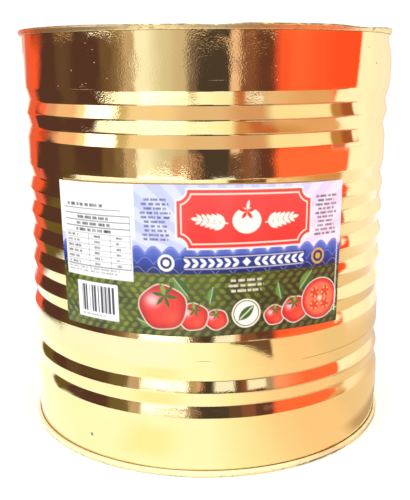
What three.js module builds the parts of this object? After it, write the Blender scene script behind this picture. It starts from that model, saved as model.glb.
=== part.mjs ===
// A catering-size tin of tomatoes: a beaded, gold-lacquered can with a paper label on its front.
// Millimetres, +Z up. The can's axis is Z, it stands on z = 0, and the label faces -Y.

import * as THREE from 'three';

// Whole can.
const HEIGHT = 232.2;
const BODY_R = 107.7;
const SEGMENTS = 60;
const CORNER_STEPS = 2;
const CLEARANCE = 0.3;

// Beads: valleys pressed into the wall on an even pitch, counted from the middle one's centre.
const BEAD_PITCH = 14.06;
const BEAD_MIDDLE_Z = 116.6;
const BEAD_DEPTH = 1.9;
const BEAD_ROUNDING = 3.0;
const BEAD_VALLEYS = [-5.5, -4.5, -2.5, -1.5, -0.5, 0.5, 1.5, 2.5, 4.5, 5.5];

// Double seam, where the end plate is rolled over the edge of the wall.
const SEAM_R = 109.5;
const SEAM_INNER_R = 107.6;
const SEAM_HEIGHT = 3.2;
const SEAM_ROUNDING = 0.6;

// End plate inside the seam, as depths below the seam's crown.
const COUNTERSINK_DEPTH = 4.8;
const COUNTERSINK_OUTER_R = 106.3;
const COUNTERSINK_WIDTH = 2.4;
const PANEL_R = 103.0;
const PANEL_DEPTH = 3.3;
const PANEL_STEPS = 3;
const PANEL_STEP_R = 94.0;
const PANEL_STEP_SPACING = 11.0;
const PANEL_STEP_WIDTH = 1.6;
const PANEL_STEP_DROP = 0.45;
const PLATE_R = 106.9;
const PLATE_UNDERSIDE_DEPTH = 6.2;

// Knock in the crown of the top seam, above the label.
const KNOCK_ANGLE = 4.5;
const KNOCK_HALF_WIDTH = 7.0;
const KNOCK_DEPTH = 1.1;

// Label: a paper sheet drawn taut over the beads. Angles are in degrees about Z, from -Y
// towards +X.
const LABEL_LEFT = -44.9;
const LABEL_RIGHT = 40.9;
const LABEL_BOTTOM = 78.2;
const LABEL_TOP = 155.4;
const LABEL_THICKNESS = 0.4;
const LABEL_STEPS = 16;

// Colours.
const GOLD = 0xd9b46a;
const PAPER = 0xd8d6e6;

function at(radius, z, rounding = 0) {
  return { radius, z, rounding };
}

// Turns corners into an outline. A corner with a rounding becomes a short curve that leaves its
// two sides at the tangent points of a circle of that radius.
function outline(corners) {
  const points = [];
  for (let i = 0; i < corners.length; i += 1) {
    const corner = corners[i];
    const here = new THREE.Vector2(corner.radius, corner.z);
    if (corner.rounding === 0) {
      points.push(here);
      continue;
    }
    const before = new THREE.Vector2(corners[i - 1].radius, corners[i - 1].z).sub(here);
    const after = new THREE.Vector2(corners[i + 1].radius, corners[i + 1].z).sub(here);
    const turn = Math.PI - Math.abs(before.angleTo(after));
    const reach = corner.rounding * Math.tan(turn / 2);
    const start = here.clone().addScaledVector(before.normalize(), reach);
    const end = here.clone().addScaledVector(after.normalize(), reach);
    const curve = new THREE.QuadraticBezierCurve(start, here, end);
    points.push(...curve.getPoints(CORNER_STEPS));
  }
  return points;
}

// Turns an outline once around the Z axis. Column 0 of the surface faces -Y.
function revolve(corners) {
  const geometry = new THREE.LatheGeometry(outline(corners), SEGMENTS);
  geometry.rotateX(Math.PI / 2);
  return geometry;
}

// Corners of the wall from its lower edge to its upper one: each valley runs down from the full
// radius and back over one pitch, so neighbours share the ridge between them.
function wallCorners() {
  const corners = [];
  let ridgeBelow = null;
  for (const valley of BEAD_VALLEYS) {
    const z = BEAD_MIDDLE_Z + valley * BEAD_PITCH;
    if (valley - 0.5 === ridgeBelow) {
      corners.pop();
      corners.push(at(BODY_R, z - BEAD_PITCH / 2, BEAD_ROUNDING));
    } else {
      corners.push(at(BODY_R, z - BEAD_PITCH / 2));
    }
    corners.push(at(BODY_R - BEAD_DEPTH, z, BEAD_ROUNDING));
    corners.push(at(BODY_R, z + BEAD_PITCH / 2));
    ridgeBelow = valley + 0.5;
  }
  return corners;
}

// The filled can: solid, with a shallow recess at each end that takes the end plate.
function bodyCorners() {
  const recessDepth = PLATE_UNDERSIDE_DEPTH + CLEARANCE;
  const recessRadius = PLATE_R + CLEARANCE;
  const edge = SEAM_HEIGHT + CLEARANCE;
  return [
    at(0, recessDepth),
    at(recessRadius, recessDepth),
    at(recessRadius, edge),
    at(BODY_R, edge),
    ...wallCorners(),
    at(BODY_R, HEIGHT - edge),
    at(recessRadius, HEIGHT - edge),
    at(recessRadius, HEIGHT - recessDepth),
    at(0, HEIGHT - recessDepth),
  ];
}

// Upper end from its underside on the axis, out round the seam and back over the panel, which
// steps down towards the middle.
function topEndCorners() {
  const corners = [
    at(0, HEIGHT - PLATE_UNDERSIDE_DEPTH),
    at(PLATE_R, HEIGHT - PLATE_UNDERSIDE_DEPTH),
    at(PLATE_R, HEIGHT - SEAM_HEIGHT),
    at(SEAM_R, HEIGHT - SEAM_HEIGHT),
    at(SEAM_R, HEIGHT, SEAM_ROUNDING),
    at(SEAM_INNER_R, HEIGHT),
    at(COUNTERSINK_OUTER_R, HEIGHT - COUNTERSINK_DEPTH),
    at(COUNTERSINK_OUTER_R - COUNTERSINK_WIDTH, HEIGHT - COUNTERSINK_DEPTH),
    at(PANEL_R, HEIGHT - PANEL_DEPTH),
  ];
  let depth = PANEL_DEPTH;
  for (let step = 0; step < PANEL_STEPS; step += 1) {
    const radius = PANEL_STEP_R - step * PANEL_STEP_SPACING;
    corners.push(at(radius, HEIGHT - depth));
    depth += PANEL_STEP_DROP;
    corners.push(at(radius - PANEL_STEP_WIDTH, HEIGHT - depth));
  }
  corners.push(at(0, HEIGHT - depth));
  return corners;
}

// The lower end is the upper one turned over: same radii, heights counted from the floor, and
// the order reversed so that the surface still faces outwards.
function bottomEndCorners() {
  const mirrored = topEndCorners().map(({ radius, z, rounding }) => at(radius, HEIGHT - z, rounding));
  return mirrored.reverse();
}

// Presses the knock into the crown of the seam. The points that it moves are those on the crown;
// how far they sink falls off from the middle of the knock as a raised cosine.
function knockCrown(geometry) {
  const position = geometry.attributes.position;
  for (let i = 0; i < position.count; i += 1) {
    const onCrown = position.getZ(i) > HEIGHT - SEAM_ROUNDING * 2;
    const angle = THREE.MathUtils.radToDeg(Math.atan2(position.getX(i), -position.getY(i)));
    const away = Math.abs(angle - KNOCK_ANGLE) / KNOCK_HALF_WIDTH;
    if (onCrown && away < 1) {
      const drop = (KNOCK_DEPTH * (1 + Math.cos(Math.PI * away))) / 2;
      position.setZ(i, position.getZ(i) - drop);
    }
  }
  return geometry;
}

// The label is a slice of a thin tube. The arc is drawn in plan and raised to the label's height.
function labelGeometry() {
  const innerRadius = BODY_R + CLEARANCE;
  const start = THREE.MathUtils.degToRad(LABEL_LEFT - 90);
  const end = THREE.MathUtils.degToRad(LABEL_RIGHT - 90);
  const plan = new THREE.Shape();
  plan.absarc(0, 0, innerRadius + LABEL_THICKNESS, start, end, false);
  plan.absarc(0, 0, innerRadius, end, start, true);
  const geometry = new THREE.ExtrudeGeometry(plan, {
    depth: LABEL_TOP - LABEL_BOTTOM,
    bevelEnabled: false,
    curveSegments: LABEL_STEPS,
  });
  geometry.translate(0, 0, LABEL_BOTTOM);
  return geometry;
}

function lacqueredTin() {
  return new THREE.MeshStandardMaterial({ color: GOLD, roughness: 0.12, metalness: 1 });
}

function printedPaper() {
  return new THREE.MeshStandardMaterial({ color: PAPER, roughness: 0.3, metalness: 0 });
}

function piece(name, geometry, material) {
  const mesh = new THREE.Mesh(geometry, material);
  mesh.name = name;
  return mesh;
}

const tin = new THREE.Group();
tin.name = 'tomato_tin';
tin.add(piece('can_body', revolve(bodyCorners()), lacqueredTin()));
tin.add(piece('top_end', knockCrown(revolve(topEndCorners())), lacqueredTin()));
tin.add(piece('bottom_end', revolve(bottomEndCorners()), lacqueredTin()));
tin.add(piece('label', labelGeometry(), printedPaper()));

export default tin;
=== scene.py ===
"""A catering-size tin of tomatoes: a beaded can of gold-lacquered tinplate with a paper label.

Blender 4.5, in metres, +Z up, on the tin's own axis. Angles about that axis are measured from the
label's side, -Y, and grow towards +X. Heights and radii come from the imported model.
"""

import math

import bpy
import numpy as np
from mathutils import Matrix, Vector


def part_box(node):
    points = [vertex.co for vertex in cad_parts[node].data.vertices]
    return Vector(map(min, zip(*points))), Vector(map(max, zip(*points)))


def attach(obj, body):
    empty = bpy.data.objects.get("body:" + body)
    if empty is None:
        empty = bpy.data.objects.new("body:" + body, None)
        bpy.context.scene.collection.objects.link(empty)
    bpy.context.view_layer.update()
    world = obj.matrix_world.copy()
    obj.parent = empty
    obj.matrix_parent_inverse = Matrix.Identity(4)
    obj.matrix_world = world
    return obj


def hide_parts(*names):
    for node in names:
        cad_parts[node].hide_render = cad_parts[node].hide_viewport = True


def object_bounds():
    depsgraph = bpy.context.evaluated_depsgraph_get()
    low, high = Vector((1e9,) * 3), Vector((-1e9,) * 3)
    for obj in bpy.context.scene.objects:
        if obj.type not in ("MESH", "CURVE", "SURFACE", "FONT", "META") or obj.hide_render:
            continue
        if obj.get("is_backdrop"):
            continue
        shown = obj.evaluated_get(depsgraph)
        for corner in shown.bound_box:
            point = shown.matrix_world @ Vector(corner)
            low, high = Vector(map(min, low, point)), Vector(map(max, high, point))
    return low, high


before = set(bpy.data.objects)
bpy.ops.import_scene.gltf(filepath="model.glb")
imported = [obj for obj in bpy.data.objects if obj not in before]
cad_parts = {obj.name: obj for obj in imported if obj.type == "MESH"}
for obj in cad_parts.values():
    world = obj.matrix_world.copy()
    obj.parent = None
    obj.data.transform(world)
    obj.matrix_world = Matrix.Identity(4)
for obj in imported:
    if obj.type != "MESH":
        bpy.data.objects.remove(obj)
CAD_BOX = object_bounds()

MM = 0.001
TURN = 2 * math.pi

# The whole tin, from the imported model.
WALL_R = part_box("can_body")[1].x
SEAM_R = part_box("top_end")[1].x
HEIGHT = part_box("top_end")[1].z

# Wall: valleys on an even pitch, counted from the middle of the bead pattern.
WALL_SEGMENTS = 360
BEAD_PITCH = 14.06 * MM
BEAD_MIDDLE = 116.6 * MM
BEAD_VALLEYS = (-5.5, -4.5, -2.5, -1.5, -0.5, 0.5, 1.5, 2.5, 4.5, 5.5)
BEAD_SLOPE = math.radians(14.5)
BEAD_ROUNDING = 2.5 * MM
BEAD_ARC_STEPS = 6
WALL_LONGEST_STEP = 2.2 * MM
WALL_EDGE_DEPTH = 2.6 * MM
WALL_EDGE_ROUNDING = 0.2 * MM
WALL_HIDDEN = 2.85 * MM

# Where the wall swells out at the right: (angle and half width in degrees, height, half height
# below and above it, raise).
WALL_SWELLS = (
    (80, 32, 214 * MM, 45 * MM, 14 * MM, 2.0 * MM),
    (80, 30, 24 * MM, 30 * MM, 36 * MM, 1.2 * MM),
)

# Side weld, straight at the back of the wall.
WELD_HALF_WIDTH = 0.9 * MM
WELD_RAISE = 0.18 * MM
WELD_MARGIN = 3.0 * MM

# Ends: depths are below the crown of the seam.
END_SEGMENTS = 360
SEAM_HEIGHT = 3.0 * MM
SEAM_WIDTH = 1.9 * MM
SEAM_GAP = 0.22 * MM
SEAM_LEAN = 0.3 * MM
UPPER_SEAM_INSET = 0.3 * MM
LOWER_SEAM_INSET = -0.4 * MM
UPPER_HEM_ROUNDING = 0.3 * MM
LOWER_HEM_ROUNDING = 0.95 * MM
SEAM_STEP = 0.4 * MM
END_ARC_STEPS = 7
COUNTERSINK_DEPTH = 4.8 * MM
COUNTERSINK_R = 106.3 * MM
COUNTERSINK_WIDTH = 2.4 * MM
PANEL_R = 103.0 * MM
PANEL_DEPTH = 3.3 * MM
PANEL_STEPS = 3
PANEL_STEP_R = 94.0 * MM
PANEL_STEP_SPACING = 11.0 * MM
PANEL_STEP_WIDTH = 1.6 * MM
PANEL_STEP_DROP = 0.45 * MM
PLATE_R = 106.9 * MM
PLATE_UNDERSIDE = 6.2 * MM
PLATE_GAP = 0.3 * MM
PANEL_LONGEST_STEP = 6 * MM

# Label: corner angles in degrees, heights in metres, and how far its edges bow.
LABEL_LEFT_TOP = -45.6
LABEL_LEFT_BOTTOM = -44.2
LABEL_RIGHT_TOP = 41.3
LABEL_RIGHT_BOTTOM = 40.5
LABEL_BOTTOM = 77.9 * MM
LABEL_TOP = 154.6 * MM
LABEL_TOP_BOW = 1.6 * MM
LABEL_BOTTOM_BOW = 1.4 * MM
LABEL_COLUMNS = 430
LABEL_ROWS = 204
LABEL_BACK_ROWS = 8
LABEL_STANDOFF = 0.18 * MM
LABEL_THICKNESS = 0.14 * MM

# Camera: the photo's own, in pixels of its 410 x 500 frame and degrees.
PHOTO_HEIGHT_PX = 500
FOCAL_PX = 787.6
CAMERA_PLACE = (0.0, -0.4882, 0.2134)
CAMERA_PITCH = 13.3
CAMERA_YAW = -0.068
CAMERA_ROLL = -0.286
SENSOR = 36.0


def set_camera():
    camera = bpy.data.objects.new("camera", bpy.data.cameras.new("camera"))
    camera.data.sensor_width = SENSOR
    camera.data.lens = FOCAL_PX * SENSOR / PHOTO_HEIGHT_PX
    camera.data.clip_start = 0.01
    turn = Matrix.Rotation(math.radians(-CAMERA_YAW), 4, "Z")
    tilt = Matrix.Rotation(math.radians(90 - CAMERA_PITCH), 4, "X")
    roll = Matrix.Rotation(math.radians(CAMERA_ROLL), 4, "Z")
    camera.matrix_world = Matrix.Translation(CAMERA_PLACE) @ turn @ tilt @ roll
    bpy.context.scene.collection.objects.link(camera)
    bpy.context.scene.camera = camera


set_camera()


# Shader building

def joined(operation, swapped=False):
    """A method that joins a value and another one, or a number, with a Math node."""
    def join(self, other):
        return self.paint.math(operation, *((other, self) if swapped else (self, other)))
    return join


class Value:
    """A socket that carries numbers. Arithmetic on it adds Math nodes to its paint."""

    def __init__(self, paint, socket):
        self.paint = paint
        self.socket = socket

    __add__ = __radd__ = joined("ADD")
    __sub__ = joined("SUBTRACT")
    __rsub__ = joined("SUBTRACT", swapped=True)
    __mul__ = __rmul__ = joined("MULTIPLY")
    __truediv__ = joined("DIVIDE")
    __pow__ = joined("POWER")
    or_more = joined("MAXIMUM")

    def __abs__(self):
        return self.paint.math("ABSOLUTE", self)

    def above(self, edge, softness):
        """0 below edge - softness, 1 above edge + softness, and a smooth step between them."""
        settings = {"interpolation_type": "SMOOTHSTEP"}
        values = {"Value": self, "From Min": edge - softness, "From Max": edge + softness}
        return self.paint.add("ShaderNodeMapRange", settings, values)

    def below(self, edge, softness):
        return 1 - self.above(edge, softness)

    def between(self, low, high, softness):
        return self.above(low, softness) * self.below(high, softness)


class Paint:
    """A node material in the making."""

    def __init__(self, name):
        self.material = bpy.data.materials.new(name)
        self.material.use_nodes = True
        self.tree = self.material.node_tree
        self.tree.nodes.clear()

    def add(self, kind, settings=None, inputs=None, output=0):
        """Adds one node, sets it, fills or links its sockets, and returns the wanted output."""
        node = self.tree.nodes.new(kind)
        for key, value in (settings or {}).items():
            setattr(node, key, value)
        for key, value in (inputs or {}).items():
            if isinstance(value, Value):
                self.tree.links.new(value.socket, node.inputs[key])
            else:
                node.inputs[key].default_value = value
        return Value(self, node.outputs[output])

    def math(self, operation, *values):
        return self.add("ShaderNodeMath", {"operation": operation}, dict(enumerate(values)))

    def place(self):
        return self.add("ShaderNodeTexCoord", output="Object")

    def parts(self, vector):
        """The x, y and z of a vector, as three values."""
        return [self.add("ShaderNodeSeparateXYZ", None, {0: vector}, axis) for axis in range(3)]

    def round_axis(self, vector):
        """Distance from the tin's axis, angle in degrees from -Y towards +X, and height."""
        x, y, z = self.parts(vector)
        reach = (x * x + y * y) ** 0.5
        angle = self.math("ARCTAN2", x, 0 - y) * math.degrees(1)
        return reach, angle, z

    def noise(self, vector, size, detail=2.0, roughness=0.5, stretch=None):
        """Fractal noise whose blobs are about size across, longer along axes given in stretch."""
        if stretch:
            squeeze = {0: vector, 1: tuple(1 / s for s in stretch)}
            vector = self.add("ShaderNodeVectorMath", {"operation": "MULTIPLY"}, squeeze)
        values = {"Vector": vector, "Scale": 1 / size, "Detail": detail, "Roughness": roughness}
        return self.add("ShaderNodeTexNoise", None, values)

    def specks(self, vector, spacing, radius):
        """1 on scattered round specks of up to radius, one at most in each cell of spacing."""
        values = {"Vector": vector, "Scale": 1 / spacing}
        cells = self.add("ShaderNodeTexVoronoi", None, values)
        chance = self.add("ShaderNodeTexVoronoi", None, values, "Color")
        size = self.parts(chance)[0] ** 3 * radius
        return (cells * spacing - size).below(0, 0.25 * radius)

    def mix(self, share, first, second):
        """The colour first where share is 0 and second where it is 1."""
        ends = [end if isinstance(end, Value) else (*end, 1.0) for end in (first, second)]
        return self.add("ShaderNodeMix", {"data_type": "RGBA"}, {0: share, 6: ends[0], 7: ends[1]}, 2)

    def finish(self, shader):
        output = self.tree.nodes.new("ShaderNodeOutputMaterial")
        self.tree.links.new(shader.socket, output.inputs["Surface"])
        return self.material


def patched(paint, colour, patches):
    """colour, and over it the light of each patch where its cover is 1."""
    for cover, patch in patches:
        colour = paint.mix(cover, colour, patch)
    return colour


# Meshes

def mesh_piece(name, vertices, loops, starts=None):
    """An object from an array of points and the corner indices of its faces. The faces are quads,
    unless starts says at which corner each begins."""
    starts = np.arange(0, len(loops), 4) if starts is None else starts
    mesh = bpy.data.meshes.new(name)
    mesh.vertices.add(len(vertices))
    mesh.vertices.foreach_set("co", np.ascontiguousarray(vertices, np.float32).ravel())
    mesh.loops.add(len(loops))
    mesh.loops.foreach_set("vertex_index", np.ascontiguousarray(loops, np.int32))
    mesh.polygons.add(len(starts))
    mesh.polygons.foreach_set("loop_start", np.ascontiguousarray(starts, np.int32))
    mesh.polygons.foreach_set("use_smooth", np.full(len(starts), True))
    mesh.update(calc_edges=True)
    mesh.validate()
    piece = bpy.data.objects.new(name, mesh)
    bpy.context.scene.collection.objects.link(piece)
    return piece


def grid_faces(rows, columns, closed=False):
    """Corner indices of the quads of a grid of rows x columns points. A quad at (row, column)
    goes on through (row, column + 1), (row + 1, column + 1) and (row + 1, column)."""
    row = np.arange(rows - 1)[:, None] * columns
    column = np.arange(columns if closed else columns - 1)[None, :]
    beside = (column + 1) % columns
    over = row + columns
    return np.stack([row + column, row + beside, over + beside, over + column], -1).ravel()


def rounded(corners, steps):
    """The outline through corners (radius, height, rounding). A rounded corner is the circular
    arc that touches its two sides: its centre plus a sweep between the two tangent points."""
    points = []
    for i, (radius, height, rounding) in enumerate(corners):
        here = np.array([radius, height])
        if rounding == 0:
            points.append(here[None])
            continue
        before = np.array(corners[i - 1][:2]) - here
        after = np.array(corners[i + 1][:2]) - here
        before /= np.linalg.norm(before)
        after /= np.linalg.norm(after)
        half = math.acos(np.clip(before @ after, -1, 1)) / 2
        inward = (before + after) / np.linalg.norm(before + after)
        centre = here + inward * rounding / math.sin(half)
        start = here + before * rounding / math.tan(half) - centre
        end = here + after * rounding / math.tan(half) - centre
        sweep = math.pi - 2 * half
        share = np.linspace(0, 1, steps + 1)[:, None]
        arc = np.sin((1 - share) * sweep) * start + np.sin(share * sweep) * end
        points.append(centre + arc / math.sin(sweep))
    return np.concatenate(points)


def refined(points, longest):
    """The outline with each side divided into steps no longer than its length in longest."""
    pieces = []
    for first, second, limit in zip(points[:-1], points[1:], longest):
        count = max(1, math.ceil(np.linalg.norm(second - first) / limit))
        share = np.arange(count)[:, None] / count
        pieces.append(first + (second - first) * share)
    pieces.append(points[-1:])
    return np.concatenate(pieces)


def revolve(name, outline, segments, shape=None):
    """Turns an outline of (radius, height) rows, which runs up the outside from axis to axis, round
    Z: x = radius sin(angle), y = -radius cos(angle). shape(radius, height, angle) may move the
    surface. Fans of triangles close it at the axis."""
    angle = np.arange(segments) * TURN / segments
    radius = np.repeat(outline[1:-1, :1], segments, 1)
    height = np.repeat(outline[1:-1, 1:], segments, 1)
    if shape:
        radius, height = shape(radius, height, angle[None, :])
    rings = np.stack([radius * np.sin(angle), -radius * np.cos(angle), height], -1).reshape(-1, 3)
    poles = [[0, 0, outline[0, 1]], [0, 0, outline[-1, 1]]]
    quads = grid_faces(len(radius), segments, closed=True)
    column = np.arange(segments)
    beside = (column + 1) % segments
    last = len(rings) - segments
    low_fan = [beside, column, np.full(segments, len(rings))]
    high_fan = [last + column, last + beside, np.full(segments, len(rings) + 1)]
    fans = np.array([low_fan, high_fan]).transpose(0, 2, 1).ravel()
    starts = np.append(np.arange(0, len(quads), 4), len(quads) + np.arange(0, len(fans), 3))
    return mesh_piece(name, np.concatenate([rings, poles]), np.append(quads, fans), starts)


# The can

def bell(distance):
    """A raised cosine: 1 at 0, falling to 0 at a distance of 1."""
    return np.where(np.abs(distance) < 1, (1 + np.cos(np.pi * distance)) / 2, 0)


def wall_corners():
    """Corners of the beads: two straight flanks at BEAD_SLOPE lead from the full radius to each
    valley's floor, and neighbours share a rounded ridge."""
    steep = math.tan(BEAD_SLOPE)
    cut_back = BEAD_ROUNDING * (1 / math.cos(BEAD_SLOPE) - 1)
    depth = BEAD_PITCH / 2 * steep - cut_back
    reach = depth / steep
    corners = []
    for valley in BEAD_VALLEYS:
        middle = BEAD_MIDDLE + valley * BEAD_PITCH
        if valley - 1 not in BEAD_VALLEYS:
            corners.append((WALL_R, middle - reach, BEAD_ROUNDING))
        corners.append((WALL_R - depth, middle, BEAD_ROUNDING))
        if valley + 1 in BEAD_VALLEYS:
            corners.append((WALL_R + cut_back, middle + BEAD_PITCH / 2, BEAD_ROUNDING))
        else:
            corners.append((WALL_R, middle + reach, BEAD_ROUNDING))
    return corners


def uneven_wall(radius, height, angle):
    """Adds to the radius long shallow waves, each swell's bell over angle times its bell over
    height, and the weld's low flat rib."""
    waves = (
        0.030 * np.sin(3 * angle + 0.6)
        + 0.022 * np.sin(7 * angle + 2.1 + height / (31 * MM))
        + 0.012 * np.sin(13 * angle - 1.3 - height / (19 * MM))
        + 0.006 * np.sin(23 * angle + 0.4 + height / (11 * MM))
    )
    swell = 0
    for middle, half_width, level, below, above, rise in WALL_SWELLS:
        over = height - level
        beside = (np.degrees(angle) - middle) / half_width
        swell = swell + rise * bell(beside) * bell(over / np.where(over < 0, below, above))
    away = np.abs(angle - math.pi) * WALL_R / WELD_HALF_WIDTH
    weld = WELD_RAISE * np.clip(2 - away, 0, 1)
    return radius + waves * MM + swell + weld, height


def make_wall():
    edge = WALL_EDGE_DEPTH
    inside = PLATE_R + PLATE_GAP
    floor = PLATE_UNDERSIDE + PLATE_GAP
    corners = [
        (0, floor, 0),
        (inside, floor, 0),
        (inside, edge, 0),
        (WALL_R, edge, WALL_EDGE_ROUNDING),
        (WALL_R, WALL_HIDDEN, 0),
        *wall_corners(),
        (WALL_R, HEIGHT - WALL_HIDDEN, 0),
        (WALL_R, HEIGHT - edge, WALL_EDGE_ROUNDING),
        (inside, HEIGHT - edge, 0),
        (inside, HEIGHT - floor, 0),
        (0, HEIGHT - floor, 0),
    ]
    points = rounded(corners, BEAD_ARC_STEPS)
    longest = np.where(points[:, 0] > inside, WALL_LONGEST_STEP, HEIGHT)
    return revolve("wall", refined(points, longest), WALL_SEGMENTS, uneven_wall)


def end_outline(inset, hem_rounding):
    """Outline of an end as (radius, depth below the crown): from its underside on the axis out
    round the seam, down the chuck wall and over the panel."""
    hook_inner = WALL_R + SEAM_GAP
    hook_top = WALL_EDGE_DEPTH - PLATE_GAP
    face = SEAM_R - inset
    corners = [
        (0, PLATE_UNDERSIDE, 0),
        (PLATE_R, PLATE_UNDERSIDE, 0),
        (PLATE_R, hook_top, 0),
        (hook_inner, hook_top, 0),
        (hook_inner, SEAM_HEIGHT, 0.12 * MM),
        (face - SEAM_LEAN, SEAM_HEIGHT, hem_rounding),
        (face, SEAM_HEIGHT / 3, 0.4 * MM),
        (face, 0, 0.7 * MM),
        (SEAM_R - SEAM_WIDTH, 0, 0.5 * MM),
        (COUNTERSINK_R, COUNTERSINK_DEPTH, 0.7 * MM),
        (COUNTERSINK_R - COUNTERSINK_WIDTH, COUNTERSINK_DEPTH, 0.7 * MM),
        (PANEL_R, PANEL_DEPTH, 0.7 * MM),
    ]
    depth = PANEL_DEPTH
    for step in range(PANEL_STEPS):
        radius = PANEL_STEP_R - step * PANEL_STEP_SPACING
        corners.append((radius, depth, 1.2 * MM))
        depth += PANEL_STEP_DROP
        corners.append((radius - PANEL_STEP_WIDTH, depth, 1.2 * MM))
    corners.append((0, depth, 0))
    points = rounded(corners, END_ARC_STEPS)
    longest = np.where(points[:, 0] > COUNTERSINK_R, SEAM_STEP, PANEL_LONGEST_STEP)
    return refined(points, longest)


# Knocks in the crown of the upper seam: (angle in degrees, half width on the left and on the
# right of it in degrees, depth in metres).
CROWN_KNOCKS = (
    (2.8, 8.0, 9.5, 0.75 * MM),
    (-8.0, 34.0, 19.0, 0.5 * MM),
    (48.0, 14.0, 22.0, 0.9 * MM),
)


def knocked_crown(radius, height, angle):
    """Sinks the seam by each knock's depth times a bell over the angle, fading out down to the
    seam's lower edge."""
    degrees = (np.degrees(angle) + 180) % 360 - 180
    over_edge = (height - (HEIGHT - SEAM_HEIGHT)) / SEAM_HEIGHT
    share = np.where(radius > COUNTERSINK_R, np.clip(over_edge, 0, 1), 0)
    for middle, left, right, depth in CROWN_KNOCKS:
        away = degrees - middle
        height = height - depth * share * bell(away / np.where(away < 0, left, right))
    return radius, height


def make_ends():
    upper = end_outline(UPPER_SEAM_INSET, UPPER_HEM_ROUNDING) * (1, -1) + (0, HEIGHT)
    lower = end_outline(LOWER_SEAM_INSET, LOWER_HEM_ROUNDING)[::-1]
    top = revolve("upper_end", upper, END_SEGMENTS, knocked_crown)
    bottom = revolve("lower_end", lower, END_SEGMENTS)
    return top, bottom


# The label

def label_edges(share):
    """Lowest and highest height of the label at a share of the way across. Both edges bow up: the
    lower by a bell right of the middle, the upper by a power of a sine."""
    low = LABEL_BOTTOM + LABEL_BOTTOM_BOW * bell((share - 0.76) / 0.36)
    high = LABEL_TOP + LABEL_TOP_BOW * np.sin(np.pi * share) ** 1.5
    return low, high


def label_surface(across, up, standoff):
    """Points of the sheet at shares across and up: part of a cylinder whose four corners have
    their own angles, standoff away from the wall."""
    left = LABEL_LEFT_BOTTOM + (LABEL_LEFT_TOP - LABEL_LEFT_BOTTOM) * up
    right = LABEL_RIGHT_BOTTOM + (LABEL_RIGHT_TOP - LABEL_RIGHT_BOTTOM) * up
    angle = np.radians(left + (right - left) * across)
    low, high = label_edges(across)
    height = low + (high - low) * up
    ripple = 0.03 * MM * np.sin(9 * angle + height / (16 * MM)) * np.sin(height / (9 * MM))
    radius = WALL_R + standoff + ripple
    return np.stack([radius * np.sin(angle), -radius * np.cos(angle), height], -1)


def make_label():
    """A closed thin sheet: its section goes up the back and down the front and is carried from
    left to right, and a single face closes it at each side."""
    up = np.concatenate([np.linspace(0, 1, LABEL_BACK_ROWS), np.linspace(1, 0, LABEL_ROWS)])
    front = np.arange(len(up)) >= LABEL_BACK_ROWS
    grid = np.meshgrid(np.linspace(0, 1, LABEL_COLUMNS), up, indexing="ij")
    vertices = label_surface(*grid, LABEL_STANDOFF + LABEL_THICKNESS * front)
    quads = grid_faces(LABEL_COLUMNS, len(up), closed=True)
    left_cap = np.arange(len(up))
    right_cap = (LABEL_COLUMNS - 1) * len(up) + left_cap[::-1]
    loops = np.concatenate([quads, left_cap, right_cap])
    starts = np.append(np.arange(0, len(quads), 4), [len(quads), len(quads) + len(up)])
    piece = mesh_piece("paper_label", vertices.reshape(-1, 3), loops, starts)
    colour = np.ones((*vertices.shape[:2], 4))
    colour[..., :3] = np.where(front[:, None], printed(*grid), PAPER)
    layer = piece.data.color_attributes.new("print", "FLOAT_COLOR", "POINT")
    layer.data.foreach_set("color", colour.astype(np.float32).ravel())
    return piece


# The label's print. Positions are in millimetres on the flat sheet: u to the right from its left
# edge, v up from its lower edge. Angles on it are in degrees, anticlockwise from the right.

SHEET_WIDTH = 163.0
SHEET_HEIGHT = 77.0
EDGE = 0.45
MIDDLE = 106.0


def hue(red, green, blue):
    """A display colour, 0 to 255 a channel, as linear light."""
    share = np.array([red, green, blue]) / 255
    return np.where(share <= 0.04045, share / 12.92, ((share + 0.055) / 1.055) ** 2.4)


PAPER = hue(250, 249, 250)
CREAM = hue(255, 240, 222)
INK = hue(44, 40, 52)
PLAQUE_RED = hue(238, 44, 34)
TOMATO_RED = hue(236, 48, 34)
TOMATO_DEEP = hue(176, 20, 20)
TOMATO_FLESH = hue(248, 110, 78)
TOMATO_SEED = hue(250, 196, 96)
LEAF_GREEN = hue(58, 96, 34)
LEAF_LIGHT = hue(124, 158, 58)
SKY_HIGH = hue(186, 192, 240)
SKY_LOW = hue(240, 206, 222)
WAVE_PALE = hue(88, 106, 190)
WAVE_BLUE = hue(34, 62, 160)
WAVE_DEEP = hue(14, 30, 108)
FOLIAGE = hue(150, 164, 44)
GROUND_LIGHT = hue(98, 104, 24)
GROUND_DARK = hue(44, 50, 14)
GROUND_OLIVE = hue(60, 48, 24)
BAND_BLUE = hue(28, 44, 128)
OCHRE = hue(208, 158, 66)


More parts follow.
